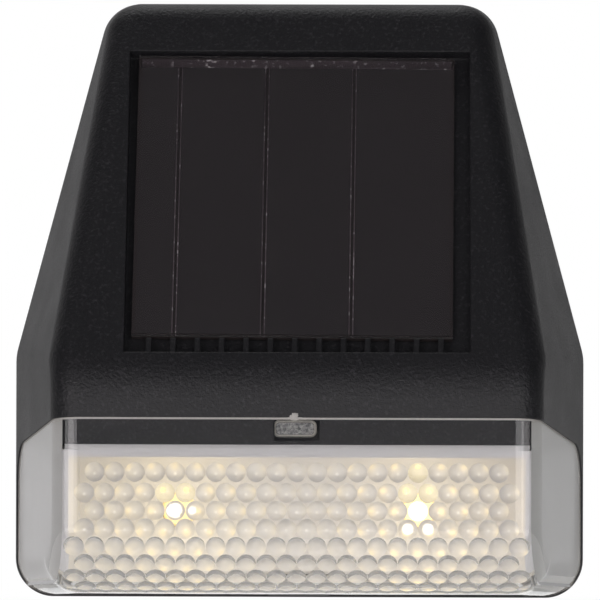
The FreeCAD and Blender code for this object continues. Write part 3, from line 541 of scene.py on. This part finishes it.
def addTab(mesh, wallY, pad, lip):
    # the snap tab behind the front wall: a clear rounded frame round a mottled pad
    half, low, high = tabShape["half"], tabShape["low"], tabShape["high"]
    steps = tabShape["cornerSteps"]
    plans = []
    for inset, depth in tabShape["outlines"]:
        radius = max(tabShape["round"] - inset, tabShape["sharpest"])
        right, top, bottom = half - inset - radius, high - inset - radius, low + inset + radius
        outline = []
        corners = ((right, top, 0), (-right, top, 90), (-right, bottom, 180), (right, bottom, 270))
        for cornerX, cornerZ, start in corners:
            for i in range(steps + 1):
                turn = math.radians(start + 90 * i / steps)
                x = tabShape["x"] + cornerX + radius * math.cos(turn)
                outline.append(mesh.verts.new(place(x, wallY + depth, cornerZ + radius * math.sin(turn))))
        plans.append(outline)
    count = len(plans[0])
    for index, (nearer, further) in enumerate(zip(plans, plans[1:])):
        for i in range(count):
            after = (i + 1) % count
            side = mesh.faces.new((nearer[i], nearer[after], further[after], further[i]))
            if index in tabShape["lip"]:
                side.material_index = lip
    mesh.faces.new(plans[0])
    mesh.faces.new(plans[-1]).material_index = pad


def addGateMark(mesh, wallY, finish):
    # the broken-off gate: a small rough lump on the top edge
    shape = gateShape
    made = bmesh.ops.create_icosphere(mesh, subdivisions=4, radius=1.0)
    for vertex in made["verts"]:
        spot = vertex.co.copy()
        coarse, fine = (noise.noise(spot * size) for size in shape["torn"])
        torn = 0.5 + 0.5 * coarse + 0.25 * fine
        rough = 1 - shape["roughness"] * min(max(torn, 0.0), 1.0)
        lump = [spot[i] * shape["size"][i] * rough for i in range(3)]
        vertex.co = place(shape["x"] + lump[0], wallY + lump[1], shape["z"] + lump[2])
        for face in vertex.link_faces:
            face.material_index = finish


def addDomeSide(mesh, corner, path, topHeight, runs, edge, finishes):
    # the inner face, unrolled into (x, run) and meshed so that each dome's rim is a clean circle
    runZero = topHeight - domeShape["topRow"]  # dome rows count their run from the top row
    outline = [(x, run) for (x, y, z), run in zip(edge, runs)]
    rearRun = runs[-1]
    (rearY, _), _ = alongPath(path, topHeight, rearRun)
    slope = math.sin(path["turn"])
    notch = [(x, rearRun - (rearY - y) / slope) for x, y in notchCorners()]
    right = outline + notch
    border = right + [(-x, run) for x, run in reversed(right)]
    points = [Vector(p) for p in border]
    heights = [0.0] * len(points)
    links = [(i, (i + 1) % len(border)) for i in range(len(border))]
    ball = (domeShape["radius"] ** 2 + domeShape["rise"] ** 2) / (2 * domeShape["rise"])
    centres = [(x, run + runZero, row) for x, run, row in domeCentres()]
    rowRuns = {row: run for x, run, row in centres}
    pips = set()
    count = domeShape["spokes"]
    for x, run, row in centres:
        rings = [(domeShape["pip"], domeShape["pipDrop"])] if row < domeShape["pipRows"] else []
        rings += [(ring * domeShape["radius"], 0.0) for ring in domeShape["rings"]]
        for radius, drop in rings:
            first = len(points)
            for spoke in range(count):
                turn = 2 * math.pi * spoke / count
                across, down = radius * math.cos(turn), radius * math.sin(turn) + drop
                points.append(Vector((x + across, run + down)))
                heights.append(math.sqrt(ball ** 2 - across ** 2 - down ** 2) - ball + domeShape["rise"])
                if drop:
                    pips.add(len(points) - 1)
            if drop or radius == domeShape["radius"]:
                links += [(first + i, first + (i + 1) % count) for i in range(count)]
    clear = domeShape["radius"] + domeShape["clear"]
    fillStep, margin = domeShape["fillStep"], domeShape["notchMargin"]
    for i in range(int(rearRun / fillStep)):
        run = (i + 0.5) * fillStep
        (y, _), _ = alongPath(path, topHeight, run)
        half = sideHalf(y, lensShape["step"] + lensShape["wall"]) - domeShape["sideMargin"]
        nearRows = [c for c in centres if abs(c[1] - run) < clear]
        onNotch = run > notch[1][1] - margin
        for j in range(-int(half / fillStep), int(half / fillStep) + 1):
            x = j * fillStep
            if onNotch and abs(x) < notch[0][0] + margin:
                continue
            if all(math.hypot(c[0] - x, c[1] - run) > clear for c in nearRows):
                points.append(Vector((x, run)))
                heights.append(0.0)
    insideOnly, tolerance = 1, 1e-5
    coords, _, triangles, sources = geometry.delaunay_2d_cdt(points, links, [], insideOnly, tolerance)[:4]
    made, raised, onPip = [], [], []
    for spot, source in zip(coords, sources):
        height = heights[source[0]] if source else 0.0
        raised.append(height > domeShape["flat"])
        onPip.append(bool(source) and source[0] in pips)
        (y, z), normal = alongPath(path, topHeight, spot[1])
        if height == 0.0:
            made.append(corner((spot[0], y, z)))
        else:
            made.append(mesh.verts.new(place(spot[0], y - normal[0] * height, z - normal[1] * height)))
    for a, b, c in triangles:
        if made[a] is not made[b] and made[b] is not made[c] and made[a] is not made[c]:
            face = mesh.faces.new((made[a], made[b], made[c]))
            if raised[a] or raised[b] or raised[c]:
                face.material_index = finishes["domed"]
            # the tool's marks carry a painted highlight
            if onPip[a] and onPip[b] and onPip[c]:
                face.material_index = finishes["paintedPipHighlight"]
            # the domes in front of each lamp get a painted lamp glow
            middle = (coords[a] + coords[b] + coords[c]) / 3
            for row, x, reach, kind in domeShape["paintedLight"]:
                if math.hypot(middle[0] - x, middle[1] - rowRuns[row]) < reach:
                    face.material_index = finishes[kind]


lens = buildLens()
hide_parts("lens_cover")
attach(lens, "light")
print("lens built")


def sparkTexturedAbs():
    # black ABS moulded in a spark-eroded tool: a fine matt grain, with scattered glints painted into its
    # colour as lighter specks
    material, tree = startMaterial("blackAbsSparkTextured")
    where = addNode(tree, "TexCoord").outputs["Object"]
    grain = addNode(tree, "TexNoise", {"Scale": perMm(0.5), "Detail": 3.0, "Roughness": 0.65},
                    {"Vector": where})
    cloud = addNode(tree, "TexNoise", {"Scale": perMm(9.0), "Detail": 4.0}, {"Vector": where})
    paintedGlint = addNode(tree, "TexNoise", {"Scale": perMm(0.6), "Detail": 3.0}, {"Vector": where})
    sparse = addNode(tree, "MapRange", {"From Min": 0.55, "From Max": 0.8}, {"Value": paintedGlint.outputs["Fac"]})
    colour = addNode(tree, "Mix", {"data_type": "RGBA", 6: linear("#232326"), 7: linear("#424044")},
                     {0: sparse.outputs[0]})
    rough = addNode(tree, "MapRange", {"To Min": 0.36, "To Max": 0.5}, {"Value": cloud.outputs["Fac"]})
    edge = addNode(tree, "Bevel", {"samples": 4, "Radius": 0.35 * mm})
    bump = addNode(tree, "Bump", {"Strength": 1.0, "Distance": 0.16 * mm},
                   {"Height": grain.outputs["Fac"], "Normal": edge.outputs[0]})
    shell = addNode(tree, "BsdfPrincipled", {"IOR": 1.5}, {
        "Base Color": colour.outputs[2], "Roughness": rough.outputs[0], "Normal": bump.outputs[0]})
    finishMaterial(tree, shell.outputs[0])
    return material


def clearShader(tree, solid, tint="#ffffff"):
    # clear plastic: the eye sees it bend light, the lamps shine straight through
    ray = addNode(tree, "LightPath")
    through = addNode(tree, "BsdfTransparent", {"Color": linear(tint)})
    return addNode(tree, "MixShader", links={
        0: ray.outputs["Is Shadow Ray"], 1: solid, 2: through.outputs[0]}).outputs[0]


def mouldedPolystyrene(name, roughness, clarity, waveSize, waves):
    # clear styrene: glassy where the tool is polished, milky where it is satin
    material, tree = startMaterial(name)
    where = addNode(tree, "TexCoord").outputs["Object"]
    flow = addNode(tree, "TexNoise", {"Scale": perMm(waveSize), "Detail": 2.0}, {"Vector": where})
    bump = addNode(tree, "Bump", {"Strength": waves, "Distance": 0.1 * mm}, {"Height": flow.outputs["Fac"]})
    glass = addNode(tree, "BsdfPrincipled",
                    {"Base Color": linear("#fbfbfa"), "Roughness": roughness, "IOR": 1.57,
                     "Transmission Weight": clarity},
                    {"Normal": bump.outputs[0]})
    finishMaterial(tree, clearShader(tree, glass.outputs[0], "#f4f4f3"))
    return material


def paintedLightPolystyrene(name, colour, paintedLightStrength, clarity):
    # clear styrene with painted light: a painted lamp glow on the domes before a lamp, and a painted
    # highlight on the tool's mark on each dome
    material, tree = startMaterial(name)
    where = addNode(tree, "TexCoord").outputs["Object"]
    flow = addNode(tree, "TexNoise", {"Scale": perMm(1.5)}, {"Vector": where})
    shine = addNode(tree, "MapRange", {"To Min": 0.1, "To Max": 0.3}, {"Value": flow.outputs["Fac"]})
    paintedLight = addNode(tree, "BsdfPrincipled",
                  {"Base Color": linear("#f6f3e6"), "IOR": 1.57, "Transmission Weight": clarity,
                   "Emission Color": linear(colour), "Emission Strength": paintedLightStrength},
                  {"Roughness": shine.outputs[0]})
    finishMaterial(tree, paintedLight.outputs[0])
    return material


def mottledPad():
    # spark-pitted clear styrene on the tab's pad: crystalline specks, bright and dark
    material, tree = startMaterial("clearPolystyreneMottledPad")
    where = addNode(tree, "TexCoord").outputs["Object"]
    pits = addNode(tree, "TexNoise", {"Scale": perMm(0.42), "Detail": 3.0, "Roughness": 0.65},
                   {"Vector": where})
    sparkle = addNode(tree, "MapRange", {"From Min": 0.4, "From Max": 0.66}, {"Value": pits.outputs["Fac"]})
    shade = addNode(tree, "Mix", {"data_type": "RGBA", 6: linear("#8c8d92"), 7: linear("#ffffff")},
                    {0: sparkle.outputs[0]})
    bump = addNode(tree, "Bump", {"Strength": 0.8, "Distance": 0.15 * mm}, {"Height": pits.outputs["Fac"]})
    pad = addNode(tree, "BsdfPrincipled", {"Roughness": 0.25, "IOR": 1.57, "Transmission Weight": 0.25},
                  {"Base Color": shade.outputs[2], "Normal": bump.outputs[0]})
    finishMaterial(tree, clearShader(tree, pad.outputs[0], "#f4f4f3"))
    return material


def frostedEdge():
    # the moulding's cut and parting edges and its torn gate: fine frosting that scatters light to white
    material, tree = startMaterial("clearPolystyreneFrostedEdge")
    where = addNode(tree, "TexCoord").outputs["Object"]
    frost = addNode(tree, "TexNoise", {"Scale": perMm(0.5), "Detail": 3.0}, {"Vector": where})
    tone = addNode(tree, "MapRange", {"To Min": 0.85, "To Max": 1.1}, {"Value": frost.outputs["Fac"]})
    shade = addNode(tree, "HueSaturation", {"Color": linear("#d8d5d0")}, {"Value": tone.outputs[0]})
    edge = addNode(tree, "BsdfPrincipled", {"Roughness": 0.5, "IOR": 1.57},
                   {"Base Color": shade.outputs[0]})
    finishMaterial(tree, clearShader(tree, edge.outputs[0], "#f4f4f3"))
    return material


def plainPlastic(name, colour, roughness, grainSize=0.4, depth=0.02, variation=0.06):
    # moulded or extruded plastic: slight colour drift and a fine skin
    material, tree = startMaterial(name)
    where = addNode(tree, "TexCoord").outputs["Object"]
    skin = addNode(tree, "TexNoise", {"Scale": perMm(grainSize), "Detail": 3.0}, {"Vector": where})
    drift = addNode(tree, "TexNoise", {"Scale": perMm(12.0), "Detail": 3.0}, {"Vector": where})
    spread = addNode(tree, "MapRange", {"To Min": 1 - variation, "To Max": 1 + variation},
                     {"Value": drift.outputs["Fac"]})
    tone = addNode(tree, "HueSaturation", {"Color": linear(colour)}, {"Value": spread.outputs[0]})
    bump = addNode(tree, "Bump", {"Strength": 0.4, "Distance": depth * mm}, {"Height": skin.outputs["Fac"]})
    plastic = addNode(tree, "BsdfPrincipled", {"Roughness": roughness, "IOR": 1.5},
                      {"Base Color": tone.outputs[0], "Normal": bump.outputs[0]})
    finishMaterial(tree, plastic.outputs[0])
    return material


def metal(name, colour, roughness, scratchSize=0.3, depth=0.01):
    # plated or drawn metal: faint draw marks and dull spots
    material, tree = startMaterial(name)
    where = addNode(tree, "TexCoord").outputs["Object"]
    marks = addNode(tree, "TexNoise", {"Scale": perMm(scratchSize), "Detail": 4.0}, {"Vector": where})
    dull = addNode(tree, "TexNoise", {"Scale": perMm(3.0), "Detail": 3.0}, {"Vector": where})
    rough = addNode(tree, "MapRange", {"To Min": roughness - 0.07, "To Max": roughness + 0.1},
                    {"Value": dull.outputs["Fac"]})
    bump = addNode(tree, "Bump", {"Strength": 0.3, "Distance": depth * mm},
                   {"Height": marks.outputs["Fac"]})
    plate = addNode(tree, "BsdfPrincipled", {"Base Color": linear(colour), "Metallic": 1.0},
                    {"Roughness": rough.outputs[0], "Normal": bump.outputs[0]})
    finishMaterial(tree, plate.outputs[0])
    return material


def solderedRibbon():
    # tinned copper ribbon, rolled: dull grey metal, with glints painted as sparse pale non-metal specks
    material, tree = startMaterial("tinnedRibbonRolled")
    where = addNode(tree, "TexCoord").outputs["Object"]
    grainAndGlintNoise = addNode(tree, "TexNoise", {"Scale": perMm(0.8), "Detail": 2.0}, {"Vector": where})
    paintedGlintSpots = addNode(tree, "MapRange", {"From Min": 0.58, "From Max": 0.68},
                     {"Value": grainAndGlintNoise.outputs["Fac"]})
    shine = addNode(tree, "MapRange", {"To Min": 1.0, "To Max": 0.0}, {"Value": paintedGlintSpots.outputs[0]})
    colour = addNode(tree, "Mix", {"data_type": "RGBA", 6: linear("#958b90"), 7: linear("#e9e6e8")},
                     {0: paintedGlintSpots.outputs[0]})
    bump = addNode(tree, "Bump", {"Strength": 0.3, "Distance": 0.02 * mm},
                   {"Height": grainAndGlintNoise.outputs["Fac"]})
    ribbon = addNode(tree, "BsdfPrincipled", {"Roughness": 0.42}, {
        "Base Color": colour.outputs[2], "Metallic": shine.outputs[0], "Normal": bump.outputs[0]})
    finishMaterial(tree, ribbon.outputs[0])
    return material


def lampEpoxy(name, strength):
    # warm lamp, lit: clouded epoxy over the phosphor
    material, tree = startMaterial(name)
    where = addNode(tree, "TexCoord").outputs["Object"]
    cloud = addNode(tree, "TexNoise", {"Scale": perMm(0.8), "Detail": 3.0}, {"Vector": where})
    bump = addNode(tree, "Bump", {"Strength": 0.1, "Distance": 0.02 * mm}, {"Height": cloud.outputs["Fac"]})
    body = addNode(tree, "BsdfPrincipled",
                   {"Base Color": linear("#f4e6b8"), "Roughness": 0.12, "IOR": 1.52,
                    "Emission Color": linear("#ffdf9a"), "Emission Strength": strength},
                   {"Normal": bump.outputs[0]})
    finishMaterial(tree, body.outputs[0])
    return material


def laminateSheet():
    # thin glossy laminate over the cells: clear, faintly violet
    material, tree = startMaterial("clearPetLaminate")
    where = addNode(tree, "TexCoord").outputs["Object"]
    ripple = addNode(tree, "TexNoise", {"Scale": perMm(14.0), "Detail": 2.0}, {"Vector": where})
    bump = addNode(tree, "Bump", {"Strength": 0.08, "Distance": 0.1 * mm},
                   {"Height": ripple.outputs["Fac"]})
    clear = {"Base Color": linear("#f2f0f1"), "Roughness": 0.12, "IOR": 1.5, "Transmission Weight": 1.0}
    sheet = addNode(tree, "BsdfPrincipled", clear, {"Normal": bump.outputs[0]})
    finishMaterial(tree, clearShader(tree, sheet.outputs[0], "#eeebec"))
    return material


blackAbs = sparkTexturedAbs()
for material in (
    mouldedPolystyrene("clearPolystyrenePolished", 0.015, 1.0, 7.0, 0.12),
    mouldedPolystyrene("clearPolystyreneSatinDomes", 0.36, 0.85, 0.7, 0.1),
    frostedEdge(),
    mottledPad(),
    mouldedPolystyrene("clearPolystyreneSatinSides", 0.12, 0.5, 4.0, 0.3),
    # a painted highlight for the tool's mark on each dome
    paintedLightPolystyrene("clearPolystyrenePaintedPipHighlight", "#fffdf6", 0.6, 0.3),
    # a painted lamp glow, bright and warm, for the domes before each lamp
    paintedLightPolystyrene("clearPolystyrenePaintedLampGlow", "#fffbee", 0.95, 0.5),
    paintedLightPolystyrene("clearPolystyrenePaintedWarmGlow", "#ffe9a0", 0.22, 0.75),
):
    lens.data.materials.append(material)
finishes = {
    "housing": blackAbs,
    "rear_cover": blackAbs,
    "battery_door": blackAbs,
    "reflector_tray": plainPlastic("whitePolypropyleneMoulded", "#f3f2f5", 0.45, variation=0.02),
    "cover_seal": plainPlastic("greySiliconeMoulded", "#6c6e70", 0.6),
    "panel_adhesive": plainPlastic("foamTapeDieCut", "#3a3a3c", 0.9, 0.6, 0.08),
    "solar_substrate": plainPlastic("fibreglassBoardRouted", "#352f2f", 0.5),
    "solar_cells": plainPlastic("amorphousSiliconCoated", "#373536", 0.35, 0.8, 0.01, 0.05),
    "solar_busbars": solderedRibbon(),
    "solar_cover_sheet": laminateSheet(),
    "circuit_board": plainPlastic("greenSolderMaskBoard", "#1d5a34", 0.35),
    "driver_chip": plainPlastic("chipEpoxyMoulded", "#1f1f21", 0.55),
    "choke_core": plainPlastic("ferriteSintered", "#3b3a3c", 0.65),
    "choke_winding": metal("enamelledCopperWound", "#b5652b", 0.35, 0.2, 0.03),
    "led_leads": metal("tinnedLeadDrawn", "#c9c9c6", 0.35),
    "led_left": lampEpoxy("warmLampEpoxyLeft", 0.9),
    "led_right": lampEpoxy("warmLampEpoxyRight", 1.3),
    "board_screws": metal("zincPlatedSmallScrewSteel", "#b9b6ae", 0.35),
    "battery_door_screw": metal("zincPlatedDoorScrewSteel", "#b9b6ae", 0.35),
    "cover_screws": metal("zincPlatedCoverScrewSteel", "#b9b6ae", 0.35),
    "battery_cell": metal("sleevedCellCan", "#4f8a5a", 0.4),
    "battery_contact": metal("nickelPlatedContact", "#c4beb2", 0.3),
    "battery_spring": metal("nickelPlatedSpringWire", "#c4beb2", 0.3),
    "switch_body": metal("tinPlateSwitchCan", "#aeb0b0", 0.4),
    "switch_slider": plainPlastic("blackNylonSlider", "#202022", 0.45),
    "switch_pins": metal("silveredPins", "#cfcfcb", 0.3),
}
for colour, shade in (("red", "#a3211c"), ("black", "#1b1b1c")):
    insulation = plainPlastic(colour + "PvcExtruded", shade, 0.4)
    for run in ("panel", "battery", "switch"):
        finishes[f"{run}_wire_{colour}"] = insulation
for nodeName, material in finishes.items():
    dress(nodeName, material)
print("materials assigned")
